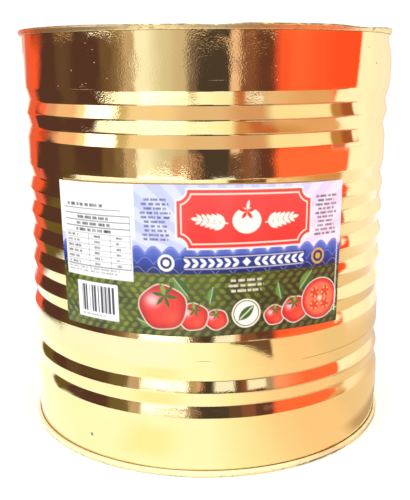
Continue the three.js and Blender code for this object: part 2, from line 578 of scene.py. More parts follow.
class Sheet:
    """The sheet of paper while it is being printed: u, v and the colour of every point."""

    def __init__(self, u, v):
        self.u = u
        self.v = v
        self.colour = np.ones((*u.shape, 3))

    def lay(self, cover, ink):
        """Lays ink where cover is 1 and leaves what is there where it is 0."""
        cover = np.broadcast_to(np.clip(cover, 0, 1), self.u.shape)
        self.colour = blend(cover, self.colour, ink)

    def fill(self, distance, ink, strength=1.0, softness=EDGE):
        """Lays ink inside a shape, where the distance from its outline is negative."""
        self.lay(np.clip(0.5 - distance / softness, 0, 1) * strength, ink)

    def box(self, left, right, low, high, rounding=0.0):
        """Distance from a rectangle's outline: outside, the length of the overshoot, inside,
        minus the way to the nearest side."""
        over_u = np.abs(self.u - (left + right) / 2) - (right - left) / 2 + rounding
        over_v = np.abs(self.v - (low + high) / 2) - (high - low) / 2 + rounding
        outside = np.hypot(np.maximum(over_u, 0), np.maximum(over_v, 0))
        return outside + np.minimum(np.maximum(over_u, over_v), 0) - rounding

    def disc(self, u, v, radius, squash=1.0):
        return np.hypot(self.u - u, (self.v - v) * squash) - radius

    def turned(self, u, v, angle):
        """Distances along and across a line that leaves (u, v) at an angle."""
        cosine, sine = math.cos(math.radians(angle)), math.sin(math.radians(angle))
        over_u, over_v = self.u - u, self.v - v
        return over_u * cosine + over_v * sine, over_v * cosine - over_u * sine

    def bar(self, u, v, angle, length, half_width):
        """Distance from the outline of a narrow bar that leaves (u, v) at an angle."""
        along, across = self.turned(u, v, angle)
        return np.maximum(np.abs(across) - half_width, np.abs(along - length / 2) - length / 2)

    def leaf(self, u, v, angle, length, width):
        """Distance from a leaf's outline: half the width times a parabola that is 0 at the foot
        and at the tip, taken from the distance across."""
        along, across = self.turned(u, v, angle)
        share = along / length
        return np.abs(across) - width * 2 * share * (1 - share)

    def shine(self, u, v, size, strength, ink, squash=1.0):
        """Lays a soft round glow: e to the power of minus the squared distance from (u, v)."""
        away = np.hypot(self.u - u, (self.v - v) * squash) / size
        self.lay(np.exp(-away ** 2) * strength, ink)


def onward(u, v, angle, distance):
    """The point at a distance from (u, v) in the direction of an angle."""
    turn = math.radians(angle)
    return u + math.cos(turn) * distance, v + math.sin(turn) * distance


def smooth_step(value):
    value = np.clip(value, 0, 1)
    return value * value * (3 - 2 * value)


def blend(share, first, second):
    return first + (second - first) * np.asarray(share)[..., None]


LATTICE = 512


def mottle(u, v, size, seed):
    """Random blobs of about size: values from 0 to 1 on a square lattice, blended between its
    points with smooth steps."""
    lattice = np.random.default_rng(seed).random((LATTICE, LATTICE))
    across, up = u / size + LATTICE / 8, v / size + LATTICE / 8
    column, row = np.floor(across).astype(int), np.floor(up).astype(int)
    levels = []
    for level in (row % LATTICE, (row + 1) % LATTICE):
        first, second = lattice[level, column % LATTICE], lattice[level, (column + 1) % LATTICE]
        levels.append(first + (second - first) * smooth_step(across - column))
    return levels[0] + (levels[1] - levels[0]) * smooth_step(up - row)


def lay_rays(sheet):
    """Lavender that warms towards the right, and pale rays: a cosine of the angle round a point
    low in the picture."""
    warm = smooth_step((sheet.u - 90) / 80 + (60 - sheet.v) / 90)
    sheet.lay(1, blend(warm, SKY_HIGH, SKY_LOW))
    around = np.arctan2(sheet.v - 30, sheet.u - MIDDLE)
    sheet.lay(smooth_step(0.5 + 1.5 * np.cos(36 * around)) * 0.28, PAPER)


def lay_waves(sheet):
    """Three rows of scallops, each a deeper blue: a crest is a height plus a swell times the
    absolute value of a sine."""
    rows = (
        (43.0, 9.0, 0.0, WAVE_PALE, WAVE_BLUE),
        (38.0, 9.0, 4.5, WAVE_BLUE, WAVE_DEEP),
        (33.0, 9.0, 0.0, WAVE_DEEP, WAVE_DEEP * 0.6),
    )
    for height, length, shift, top, foot in rows:
        crest = height + 3.4 * np.abs(np.sin(np.pi * (sheet.u + shift) / length))
        below = smooth_step((crest - sheet.v) / 9)
        sheet.fill(sheet.v - crest, blend(below, top, foot))
        sheet.fill(np.abs(sheet.v - crest + 0.9) - 0.22, SKY_HIGH, 0.4)


LEAF_CELL_U = 5.2
LEAF_CELL_V = 3.1


def lay_foliage(sheet):
    """Green ground with small leaves all over: one in each of a field of staggered cells, u
    modulo the cell's width, that leans left or right by turns."""
    top = 32.5
    shade = smooth_step((sheet.u - 70) / 100 + (top - sheet.v) / 60)
    green = blend(mottle(sheet.u, sheet.v, 9, 12), GROUND_LIGHT, GROUND_DARK)
    ground = blend(shade, green, GROUND_OLIVE)
    sheet.fill(sheet.v - top, ground)
    row = np.floor(sheet.v / LEAF_CELL_V)
    across = (sheet.u + row % 2 * LEAF_CELL_U / 2) % LEAF_CELL_U - LEAF_CELL_U / 2
    up = sheet.v - (row + 0.5) * LEAF_CELL_V
    lean = np.where(row % 4 < 2, 0.55, -0.55)
    along = across * np.cos(lean) + up * np.sin(lean)
    beside = up * np.cos(lean) - across * np.sin(lean)
    half = LEAF_CELL_U * 0.42
    blade = np.abs(beside) - 0.95 * (1 - (along / half) ** 2)
    within = np.clip(top - sheet.v, 0, 1)
    lit = 0.45 + 0.55 * mottle(sheet.u, sheet.v, 6, 13)
    sheet.fill(blade, FOLIAGE, within * lit * (0.75 - 0.35 * shade), 0.6)
    sheet.fill(np.maximum(blade, np.abs(beside) - 0.12), GROUND_DARK, within * 0.6)


def lay_words(sheet, left, right, lines, height, ink, seed, strength, centred=False):
    """Lines of small dashes of random widths in place of fine print, broken up by a mottle."""
    random = np.random.default_rng(seed)
    grain = 0.55 + 0.45 * mottle(sheet.u, sheet.v * 0.3, 0.75, seed + 1)
    for middle in lines:
        short = random.uniform(0, 0.3) * (right - left)
        start = left + short / 2 if centred else left
        widths = random.uniform((1.6, 0.7), (5.2, 1.0), (60, 2))
        dash = np.searchsorted(start + np.cumsum(widths), sheet.u) % 2 == 0
        end = start + right - left - short
        within = sheet.box(start, end, middle - height / 2, middle + height / 2)
        sheet.fill(within, ink, dash * grain * strength)


def lay_rule(sheet, left, right, v, thickness, ink, strength=0.9):
    sheet.fill(sheet.box(left, right, v - thickness / 2, v + thickness / 2), ink, strength)


PANEL_RIGHT = 49.0
TABLE_LEFT = 4.0
TABLE_RIGHT = 46.3
TABLE_TOP = 60.4
TABLE_HEAD_ROWS = 3
TABLE_HEAD_ROW = 3.3
TABLE_ROWS = 6
TABLE_ROW = 2.9


def lay_facts(sheet):
    """The plain white panel at the left: a heading and a ruled table."""
    sheet.fill(sheet.box(-5, PANEL_RIGHT, 49.5, 90), PAPER)
    sheet.fill(sheet.box(TABLE_LEFT - 0.8, TABLE_RIGHT + 0.8, 27.4, 60), PAPER)
    lay_words(sheet, 6, 41, [65.3], 1.7, INK, 31, 1.0)
    lay_rule(sheet, TABLE_LEFT - 1, TABLE_RIGHT - 5, 63.3, 0.5, INK, 0.8)
    v = TABLE_TOP
    for row in range(TABLE_HEAD_ROWS):
        lay_rule(sheet, TABLE_LEFT, TABLE_RIGHT, v, 0.55, INK)
        lay_words(sheet, 9, 38, [v - TABLE_HEAD_ROW / 2], 1.6, INK, 41 + row, 1.0, centred=True)
        v -= TABLE_HEAD_ROW
    for row in range(TABLE_ROWS):
        lay_rule(sheet, TABLE_LEFT, TABLE_RIGHT, v, 0.4, INK, 0.7)
        for seed, left, right in ((51, 5, 16), (61, 24, 29), (71, 38, 42)):
            lay_words(sheet, left, right, [v - TABLE_ROW / 2], 1.3, INK, seed + row, 0.9)
        v -= TABLE_ROW
    for column in (20.5, 34.5, TABLE_RIGHT):
        top = TABLE_TOP if column == TABLE_RIGHT else TABLE_TOP - TABLE_HEAD_ROWS * TABLE_HEAD_ROW
        sheet.fill(sheet.box(column - 0.2, column + 0.2, v, top), INK, 0.7)
    lay_rule(sheet, TABLE_LEFT, TABLE_RIGHT, v, 0.6, INK)
    lay_words(sheet, 5, 45, [v - 1.3, v - 2.9], 1.0, INK, 81, 0.7)


def lay_bars(sheet):
    """A white box with upright dark bars of random widths."""
    left, right, low, high = 10.5, 37.5, 5.0, 24.5
    sheet.fill(sheet.box(left, right, low, high, 0.6), PAPER)
    random = np.random.default_rng(91)
    edges = left + 2 + np.cumsum(random.choice([0.45, 0.45, 0.9, 1.35], 60))
    bar = np.searchsorted(edges, sheet.u) % 2 == 1
    sheet.fill(sheet.box(left + 2, right - 2, low + 3.4, high - 1.6), INK * 0.8, bar * 0.95)
    lay_words(sheet, left + 3, right - 3, [low + 1.8], 1.1, INK, 92, 0.7)


PLAQUE_HALF = 35.0
PLAQUE_LOW = 45.5
PLAQUE_HIGH = 74.5


def plaque_shape(sheet, inset):
    """A rectangle with a round bite out of each corner, drawn in by inset."""
    left, right = MIDDLE - PLAQUE_HALF, MIDDLE + PLAQUE_HALF
    shape = sheet.box(left + inset, right - inset, PLAQUE_LOW + inset, PLAQUE_HIGH - inset)
    for u in (left, right):
        for v in (PLAQUE_LOW, PLAQUE_HIGH):
            shape = np.maximum(shape, -sheet.disc(u, v, 5.5 + inset))
    return shape


def lay_sprig(sheet, u, v, way, length, ink):
    """A stem that leaves (u, v) to the side way, 1 or -1, with leaves that shorten to its tip."""
    tilt = 8 if way > 0 else 172
    sheet.fill(sheet.bar(u, v, tilt, length, 0.28), ink)
    pairs = 5
    for pair in range(pairs):
        share = (pair + 0.5) / pairs
        size = 6.6 - 3.0 * share
        foot = onward(u, v, tilt, length * share)
        for lean in (40, -40):
            sheet.fill(sheet.leaf(*foot, tilt + lean, size, size * 0.4), ink)
    sheet.fill(sheet.leaf(*onward(u, v, tilt, length), tilt, 4.2, 1.7), ink)


def lay_plaque(sheet):
    """A red plaque with a pale rim line, a plain tomato in the middle and a sprig to each side."""
    sheet.fill(plaque_shape(sheet, -0.7), CREAM)
    lift = smooth_step((sheet.v - PLAQUE_LOW) / (PLAQUE_HIGH - PLAQUE_LOW)) * 0.25
    sheet.fill(plaque_shape(sheet, 0), blend(lift, PLAQUE_RED, PLAQUE_RED + 0.12))
    sheet.fill(np.abs(plaque_shape(sheet, 2.1)) - 0.3, CREAM)
    middle = (PLAQUE_LOW + PLAQUE_HIGH) / 2
    for way in (1, -1):
        lay_sprig(sheet, MIDDLE + way * 9.5, middle - 2.2, way, 14.5, CREAM)
    sheet.fill(sheet.disc(MIDDLE, middle - 1.0, 7.3, 1.12), CREAM)
    for turn in range(5):
        sheet.fill(sheet.leaf(MIDDLE, middle + 3.6, 90 + turn * 72, 4.6, 1.9), PLAQUE_RED)
    sheet.fill(sheet.leaf(MIDDLE, middle + 4.4, 78, 5.0, 1.5), CREAM)


def lay_band(sheet):
    """A deep blue band with pale edge lines, and a row of leaves either side of a lozenge."""
    left, right, low, high = MIDDLE - 33, MIDDLE + 33, 34.0, 42.0
    sheet.fill(sheet.box(left, right, low, high, 0.8), BAND_BLUE, 0.85)
    for v in (low + 1.0, high - 1.0):
        lay_rule(sheet, left + 1.5, right - 1.5, v, 0.35, CREAM, 0.8)
    middle = (low + high) / 2
    lozenge = (np.abs(sheet.u - MIDDLE) + np.abs(sheet.v - middle)) / math.sqrt(2) - 1.5
    sheet.fill(lozenge, PAPER)
    for way in (1, -1):
        for step in range(7):
            foot = MIDDLE + way * (4.0 + step * 4.1)
            for lean in (34, -34):
                sheet.fill(sheet.leaf(foot, middle, 90 - way * (90 + lean), 4.0, 1.6), PAPER)


def lay_tomato(sheet, u, v, radius, lean):
    """A whole tomato: a slightly lobed round with a dark rim, a soft highlight and a calyx."""
    around = np.arctan2(sheet.v - v, sheet.u - u)
    body = sheet.disc(u, v, radius, 1.1) + radius * 0.03 * np.cos(5 * around + lean)
    sheet.fill(body - 0.5, CREAM, 0.8)
    sheet.fill(body, TOMATO_DEEP)
    sheet.fill(body + radius * 0.22, TOMATO_RED, 1.0, radius * 0.5)
    sheet.shine(u - radius * 0.42, v + radius * 0.28, radius * 0.28, 0.5, PAPER, 1.2)
    sheet.shine(u + radius * 0.35, v - radius * 0.4, radius * 0.4, 0.3, TOMATO_FLESH)
    top = (u + radius * 0.1 * lean, v + radius * 0.5)
    for turn in range(6):
        angle = 90 + lean * 20 + turn * 60
        sheet.fill(sheet.leaf(*top, angle, radius * 0.55, radius * 0.16), LEAF_GREEN)
    sheet.fill(sheet.leaf(*top, 90 + lean * 15, radius * 0.5, radius * 0.2), LEAF_LIGHT)


def lay_half_tomato(sheet, u, v, radius):
    """A halved tomato, cut side on: skin, flesh, four chambers with seeds, and a pale core."""
    body = sheet.disc(u, v, radius, 1.06)
    sheet.fill(body - 0.5, CREAM, 0.8)
    sheet.fill(body, TOMATO_DEEP)
    sheet.fill(body + 0.8, TOMATO_RED)
    sheet.fill(body + radius * 0.2, TOMATO_FLESH, 0.9, radius * 0.12)
    for turn in range(4):
        over_u, over_v = onward(0, 0, 45 + turn * 90, radius)
        chamber = u + over_u * 0.44, v + over_v * 0.42
        sheet.fill(sheet.disc(*chamber, radius * 0.25), TOMATO_RED * 0.8, 0.9, 0.8)
        for seed in range(5):
            angle = 45 + turn * 90 + seed * 72
            foot = onward(*chamber, angle, radius * 0.13)
            sheet.fill(sheet.leaf(*foot, angle, radius * 0.13, radius * 0.07), TOMATO_SEED)
    sheet.fill(sheet.disc(u, v, radius * 0.12), CREAM, 0.6, 1.0)


def lay_basil(sheet, u, v, angle, length):
    """A broad leaf with a pale midrib and a lighter half."""
    _, across = sheet.turned(u, v, angle)
    outline = sheet.leaf(u, v, angle, length, length * 0.55)
    sheet.fill(outline, LEAF_GREEN)
    sheet.fill(np.maximum(outline + 0.3, -across), LEAF_LIGHT, 0.6)
    sheet.fill(sheet.bar(u, v, angle, length, 0.16), CREAM, 0.6)


def lay_harvest(sheet):
    """A row of tomatoes along the foot, smaller towards its middle, with basil between them."""
    for way in (1, -1):
        lay_basil(sheet, MIDDLE + way * 30, 21, 90 - way * 38, 12)
        lay_basil(sheet, MIDDLE + way * 19, 17, 90 + way * 12, 9)
        lay_basil(sheet, MIDDLE + way * 49, 5, 90 - way * 70, 9)
        lay_tomato(sheet, MIDDLE + way * 15.5, 8.6, 5.6, way)
        lay_tomato(sheet, MIDDLE + way * 27.5, 10.4, 7.6, -way)
    lay_tomato(sheet, MIDDLE - 43.5, 15.0, 12.6, 1)
    lay_half_tomato(sheet, MIDDLE + 43.5, 14.6, 11.6)


def lay_seals(sheet):
    """A cream badge with a leaf, and a plain ringed disc at each end of the band."""
    badge = (MIDDLE, 11.0)
    sheet.fill(sheet.disc(*badge, 7.6), CREAM)
    sheet.fill(np.abs(sheet.disc(*badge, 6.6)) - 0.3, LEAF_GREEN)
    foot = (MIDDLE - 4.2, 7.4)
    sheet.fill(sheet.leaf(*foot, 42, 11.2, 5.2), LEAF_GREEN)
    sheet.fill(sheet.bar(*onward(*foot, 42, 1.0), 42, 9.2, 0.25), CREAM)
    for way, ring in ((1, OCHRE), (-1, PAPER)):
        for radius, ink in ((4.3, ring), (3.1, WAVE_DEEP), (1.7, ring)):
            sheet.fill(sheet.disc(MIDDLE + way * 41, 38.0, radius), ink)


def lay_notes(sheet):
    """Fine print to each side of the plaque, and a dotted line down the right edge."""
    lines = 69.5 - 2.2 * np.arange(10)
    lay_words(sheet, 52, 68, lines, 1.2, INK, 101, 0.9, centred=True)
    lay_words(sheet, 144, 159, lines, 1.2, INK, 111, 0.9, centred=True)
    lay_words(sheet, 96, 116, [28.5, 25.8, 23.1], 1.2, CREAM, 121, 0.8, centred=True)
    dots = 0.5 + 0.5 * np.cos(TURN * sheet.v / 1.3)
    sheet.fill(sheet.box(160.2, 161.1, 6, 50), CREAM, 0.35 + 0.5 * dots)


def printed(across, up):
    """The colour of the whole print at shares across and up the sheet."""
    sheet = Sheet(across * SHEET_WIDTH, up * SHEET_HEIGHT)
    layers = (lay_rays, lay_waves, lay_foliage, lay_band, lay_facts, lay_bars, lay_plaque,
              lay_harvest, lay_seals, lay_notes)
    for lay in layers:
        lay(sheet)
    return sheet.colour


# Finishes

GOLD = (1.0, 0.785, 0.41)
GOLD_DEEP = (0.985, 0.76, 0.385)
BARE_TIN = (0.74, 0.73, 0.71)
DUST = (0.72, 0.66, 0.55)
# Dark colour of dirt and wear, also used for painted shade in creases.
GRIME_AND_SHADE = (0.10, 0.07, 0.035)
# Brown of the painted shade along the beads.
BEAD_SHADE_BROWN = (0.36, 0.17, 0.035)
SEAM_DUST = (0.92, 0.84, 0.50)
GRAIN_DEPTH = 0.03 * MM


def grain(paint, place):
    """The sandy grain of rolled plate, in patches, over a longer swell: fine noise times a share
    that is less at the right, on the lowest beads and on the upper ones' right half."""
    _, angle, height = paint.round_axis(place)
    low = height.below(90 * MM, 15 * MM)
    beads = height.between(174 * MM, 200 * MM, 2 * MM)
    calm = (angle.above(0, 12) * (low + beads)).or_more(angle.above(22, 5))
    calm = calm.or_more(angle.below(-28, 8) * height.below(62 * MM, 5 * MM))
    fine = paint.noise(place, 0.8 * MM, detail=1.0, roughness=0.6)
    swell = paint.noise(place, 13 * MM, detail=1.0)
    sandy = paint.noise(place, 17 * MM).above(0.53, 0.1)
    return fine * (0.25 + sandy * (1.5 - 1.4 * calm)) + swell * 0.8


def tin_shader(paint, place, colour, roughness, metallic):
    """Near-mirror metal under a clear lacquer."""
    bump = {"Height": grain(paint, place), "Distance": GRAIN_DEPTH}
    return paint.add("ShaderNodeBsdfPrincipled", None, {
        "Base Color": colour,
        "Metallic": metallic,
        "Roughness": roughness,
        "Coat Weight": 0.2,
        "Coat Roughness": 0.03,
        "Normal": paint.add("ShaderNodeBump", None, bump),
    })


# Marks on the wall: (angle in degrees, height and radius in millimetres).
DUST_SPOTS = (
    (-44.3, 202.7, 0.25),
    (-40.8, 224.3, 0.25),
    (-38.5, 210.5, 0.31),
    (-34.6, 203.7, 0.31),
    (-33.2, 204.2, 0.25),
    (-33.0, 223.6, 0.28),
    (-30.7, 220.4, 0.25),
    (-30.2, 214.3, 0.28),
    (-27.7, 225.8, 0.31),
    (-26.3, 206.7, 0.25),
    (18.3, 212.2, 0.25),
    (18.7, 205.7, 0.25),
)
DIRT_SPOTS = (
    (-36.2, 14.1, 1.0),
    (52.3, 221.5, 0.4),
    (57.6, 213.4, 0.7),
)
# Level lines along the wall: (first and last angle in degrees, height in millimetres). The pale ones are
# scratches; of the dark ones, the two at the right lie on bead edges and are painted shade.
PALE_SCRATCHES = (
    (-38.4, -30.9, 201.3),
    (1.7, 5.0, 205.8),
    (-35.5, -33.8, 202.6),
)
DARK_LINES_AND_EDGE_SHADE = (
    (28.0, 60.0, 60.9),
    (40.0, 66.0, 45.6),
    (-2.5, 1.0, 64.6),
)


def spots(paint, place, marks):
    """1 on round spots on the wall, each with a soft edge."""
    cover = 0
    for angle, height, radius in marks:
        turn = math.radians(angle)
        point = (WALL_R * math.sin(turn), -WALL_R * math.cos(turn), height * MM)
        ends = {0: place, 1: point}
        away = paint.add("ShaderNodeVectorMath", {"operation": "DISTANCE"}, ends, "Value")
        cover = cover + away.below(radius * MM, 0.35 * radius * MM)
    return cover


def level_lines(angle, height, marks):
    """1 along thin level lines whose ends fade."""
    cover = 0
    for first, last, level in marks:
        line = height.between((level - 0.14) * MM, (level + 0.14) * MM, 0.1 * MM)
        cover = cover + line * angle.between(first, last, 1.2)
    return cover


def bead_lines(paint, angle, height):
    """1 along the valleys and ridges of the beads at the right, where shade is painted: they
    lie at whole half pitches from the middle bead."""
    step = BEAD_PITCH / 2
    count = abs(height - BEAD_MIDDLE) / step
    off_line = abs(count - paint.math("ROUND", count)) * step
    beaded = count.below(5.3, 0.1) + count.between(8.7, 11.3, 0.1)
    return off_line.below(0.32 * MM, 0.14 * MM) * beaded * angle.between(14, 47, 6)


def lacquered_wall():
    """Gold with faint deeper tones, marks of dust and dirt, painted shade in the creases beside the
    seams and along the beads at the right, and a stripe of bare tin over the weld."""
    paint = Paint("lacquered_wall")
    place = paint.place()
    _, angle, height = paint.round_axis(place)
    tone = paint.noise(place, 45 * MM, detail=3.0).above(0.5, 0.2)
    specks = paint.specks(place, 11 * MM, 0.28 * MM)
    specks = specks.or_more(spots(paint, place, DUST_SPOTS) * 0.85)
    specks = specks.or_more(level_lines(angle, height, PALE_SCRATCHES) * 0.25)
    # Dirt spots, and dark level lines that at the right are painted shade on the bead edges.
    dirt_and_shade = spots(paint, place, DIRT_SPOTS) * 0.75 + level_lines(angle, height, DARK_LINES_AND_EDGE_SHADE) * 0.65
    # Painted shade: brown lines along the bead valleys and ridges at the right, which also dull the
    # metal there.
    bead_shade = bead_lines(paint, angle, height) * 0.55
    # Painted shade: the wall darkens in the creases beside the seams, less at the lower one's left and
    # front.
    to_seam = paint.math("MINIMUM", height, HEIGHT - height)
    crease_shade = to_seam.below(SEAM_HEIGHT + 0.2 * MM, 0.12 * MM)
    fainter = angle.below(12, 16) * height.below(HEIGHT / 2, HEIGHT / 4)
    off_weld = abs(abs(angle) - 180) * (WALL_R / math.degrees(1))
    bare = off_weld.below(WELD_MARGIN, 0.4 * MM)
    colour = patched(paint, GOLD, (
        (tone, GOLD_DEEP),
        (specks, DUST),
        (dirt_and_shade, GRIME_AND_SHADE),
        (bead_shade, BEAD_SHADE_BROWN),
        (crease_shade * (0.85 - 0.6 * fainter), GRIME_AND_SHADE),
        (bare, BARE_TIN),
    ))
    smears = paint.noise(place, 24 * MM, detail=4.0, roughness=0.6, stretch=(1, 1, 1.8))
    roughness = 0.04 + smears.above(0.58, 0.15) * 0.04 + bare * 0.12
    metallic = 1 - specks.or_more(bead_shade) * 0.8
    return paint.finish(tin_shader(paint, place, colour, roughness, metallic))


def lacquered_end():
    """Gold, with the seams rubbed dull. Dark blotches lie along the upper one's shoulder where it faces
    partly up, and the lower one has pale dust on top and a thin line of painted shade in its crease with
    the wall."""
    paint = Paint("lacquered_end")
    place = paint.place()
    reach, angle, height = paint.round_axis(place)
    on_seam = reach.above(COUNTERSINK_R + 1 * MM, 0.6 * MM)
    scuffs = paint.noise(place, 1.4 * MM, detail=3.0, roughness=0.7, stretch=(3, 3, 1))
    worn = on_seam * scuffs.above(0.57, 0.05)
    facing_up = paint.parts(paint.add("ShaderNodeNewGeometry", output="Normal"))[2]
    upper = height.above(HEIGHT / 2, HEIGHT / 4)
    blotches = scuffs.above(0.42, 0.08).or_more(angle.below(-18, 8) * 0.8)
    # Dark blotches on the upper seam's rounded shoulder where it faces partly up, full at the left.
    shoulder = on_seam * upper * facing_up.between(0.15, 0.97, 0.08) * blotches
    rub = angle.between(27, 44, 3) * height.below(1.3 * MM, 0.3 * MM) * scuffs.above(0.45, 0.05)
    dust = (1 - upper) * facing_up.above(0.12, 0.08) * (1 - 0.55 * angle.between(30, 100, 14))
    # Painted shade: a thin dark line in the crease where the wall meets the lower seam, stronger at the
    # right.
    line = (1 - upper) * reach.between(WALL_R - 1 * MM, WALL_R + 0.55 * MM, 0.15 * MM)
    line = line * (0.3 + 0.5 * angle.between(12, 100, 16))
    dirt_and_shade = shoulder * 0.8 + rub * 0.8 + line
    colour = patched(paint, GOLD, ((worn * 0.4, GRIME_AND_SHADE), (dust, SEAM_DUST), (dirt_and_shade, GRIME_AND_SHADE)))
    roughness = 0.06 + on_seam * (0.08 + upper * 0.2) + worn * 0.12
    return paint.finish(tin_shader(paint, place, colour, roughness, 1 - dust * 0.95))


def printed_paper():
    """Varnished paper: ink from the print, a satin surface, and a thin varnish over it."""
    paint = Paint("printed_paper")
    ink = paint.add("ShaderNodeVertexColor", {"layer_name": "print"})
    shader = paint.add("ShaderNodeBsdfPrincipled", None, {
        "Base Color": ink,
        "Roughness": 0.35,
        "Specular IOR Level": 0.3,
        "Coat Weight": 0.3,
        "Coat Roughness": 0.12,
    })
    return paint.finish(shader)


# Studio: a pale floor and white surroundings, soft lights, and coloured screens round the tin
# that only its gloss sees. Screen colours are light, not paint, and may pass 1.

SCREEN_R = 0.6
SCREEN_LOW_TOP = 0.262
SCREEN_TOP = 0.62
SCREEN_COLUMNS = 96
MAT_REACH = 0.75
MAT_HEIGHT = 0.3 * MM
FLOOR_REACH = 4.0

LIT_WHITE = (1.15, 1.18, 1.24)
GROUND_WHITE = (1.07, 1.25, 1.19)
CREAM_WHITE = (1.04, 1.15, 1.12)
GLARE = (2.2, 2.2, 2.4)
SCARLET = (1.03, 0.13, 0.055)
DARK_BROWN = (0.095, 0.045, 0.042)
OLIVE_BROWN = (0.13, 0.075, 0.05)
CHARCOAL = (0.07, 0.055, 0.052)
MAROON = (0.135, 0.052, 0.04)
ORANGE = (0.80, 0.47, 0.28)

# Stripes round the tin: (angle in degrees at which a stripe begins, softness, colour).
LOW_STRIPES = (
    (-138, 4.5, (0.82, 0.14, 0.09)),
    (-124, 1, DARK_BROWN),
    (-92, 3, OLIVE_BROWN),
    (-79, 3, DARK_BROWN),
    (-58.5, 1.5, (0.165, 0.10, 0.06)),
    (-50.5, 1.2, (0.25, 0.175, 0.115)),
    (-44.7, 0.8, (0.56, 0.44, 0.34)),
    (-37.6, 1.0, (1.02, 1.10, 1.12)),
    (-27, 6, (0.72, 0.72, 0.62)),
    (-17, 4, (0.64, 0.56, 0.46)),
    (-9.6, 1.8, (0.20, 0.15, 0.14)),
    (-4.3, 1.2, CHARCOAL),
    (13.2, 0.9, (0.90, 0.63, 0.52)),
    (18.4, 1.2, (0.24, 0.10, 0.065)),
    (27.3, 1.0, MAROON),
    (38.7, 3.0, SCARLET),
    (46, 3, (1.03, 0.165, 0.073)),
    (58, 5, (1.03, 0.135, 0.057)),
    (72, 8, (1.03, 0.105, 0.038)),
)
HIGH_STRIPES = (
    (-107, 4, (0.80, 0.40, 0.28)),
    (-96, 4, (0.97, 0.62, 0.44)),
    (-79, 3, (1.05, 0.95, 0.70)),
    (-72, 2, GLARE),
    (-52, 1.5, (0.62, 0.52, 0.30)),
    (-44.5, 2.5, (0.97, 0.83, 0.64)),
    (-16, 8, (0.81, 0.62, 0.47)),
    (14, 8, (0.71, 0.41, 0.28)),
    (36, 4, (1.02, 0.97, 0.74)),
    (59, 6, (1.02, 1.0, 0.79)),
    (76.3, 1.5, (0.56, 0.26, 0.10)),
    (85, 2, (0.39, 0.115, 0.05)),
    (95, 1.2, CREAM_WHITE),
)
# Stripes at both heights from the right side on, and those of the ground.
SIDE_STRIPES = (
    (112, 8, (1.0, 1.05, 0.94)),
    (129, 5, (1.0, 0.97, 0.80)),
    (142, 5, (1.0, 0.78, 0.61)),
    (166, 5, LIT_WHITE),
)
GROUND_STRIPES = (
    (5, 6, (1.0, 1.13, 0.93)),
    (14, 6, (1.0, 1.0, 0.76)),
    (24, 7, (1.0, 0.84, 0.60)),
    (36, 8, (1.0, 0.755, 0.52)),
    (62, 8, (0.90, 0.72, 0.50)),
    (112, 26, (0.75, 0.60, 0.56)),
    (158, 18, GROUND_WHITE),
)
# Where the scarlet ends and the brown begins, and how far that leans, in degrees a metre.
SCARLET_END = 97.3
SCARLET_END_LEAN = 69
BROWN_START = -110.3
BROWN_START_LEAN = 92

# Patches of light on the screen, by height, and on the mat, by distance from the tin's axis, and
# bright cards near the tin: (first and last angle in degrees, softness, nearest and furthest
# edge, softness, strength, light).
ALL_ROUND = 999
SCREEN_PATCHES = (
    (-93, -58, 3, 0.035, 0.09, 0.01, 0.85, (0.11, 0.08, 0.035)),
    (-57, -46, 2, -1, 0.09, 0.012, 0.85, (0.17, 0.135, 0.06)),
    (-121, -105, 1.5, 0.236, 1, 0.008, 0.75, (0.24, 0.05, 0.035)),
    (38.7, ALL_ROUND, 3, -1, 0.125, 0.012, 1, (1.04, 0.19, 0.085)),
    (12.2, 19.5, 0.8, -1, 0.117, 0.006, 1, (0.14, 0.075, 0.06)),
    (24, 28, 1, 0.105, 0.12, 0.003, 1, (0.40, 0.33, 0.37)),
    (-17.5, -2, 2, 0.086, 0.113, 0.004, 1, (0.66, 0.36, 0.25)),
)
MAT_PATCHES = (
    (-31, -12, 6, 0.124, 0.16, 0.01, 0.8, (1.02, 1.10, 0.72)),
    (57, ALL_ROUND, 6, -1, 0.122, 0.006, 1, (0.57, 0.41, 0.27)),
    (-ALL_ROUND, -14, 8, 0.25, 2, 0.05, 1, (1.08, 1.24, 1.42)),
    (84, ALL_ROUND, 4, 0.29, 2, 0.05, 1, (1.04, 0.98, 0.88)),
    (95, ALL_ROUND, 4, 0.48, 2, 0.08, 1, CREAM_WHITE),
    (-60, -21, 6, 0.42, 2, 0.02, 1, (1.65, 1.62, 1.62)),
)
CARDS = (
    (-34.5, -9.3, 1.0, 0.063, 0.123, 0.002, 1, GLARE),
    (-34.5, -10.0, 1.0, 0.0435, 0.0520, 0.002, 1, GLARE),
    (-9.3, -4, 1.2, 0.063, 0.080, 0.002, 1, (0.52, 0.40, 0.28)),
    (4, 14.5, 1.2, 0.0625, 0.121, 0.002, 1, (1.0, 1.12, 1.3)),
    (21, 31, 1.2, 0.0625, 0.100, 0.002, 1, (1.0, 1.08, 1.15)),
    (70, 98, 1.0, 0.143, 0.187, 0.002, 1, (0.66, 0.18, 0.14)),
)
CARD_R = 0.35
CARD_FIRST = -45
CARD_LAST = 99
CARD_COLUMNS = 48
CARD_TOP = 0.2


def striped(paint, angle, first, stripes):
    """first, and from each stripe's angle on that stripe's colour."""
    return patched(paint, first, [(angle.above(begin, soft), stripe) for begin, soft, stripe in stripes])


def glow(paint, colour):
    return paint.add("ShaderNodeEmission", None, {"Color": colour, "Strength": 1.0})


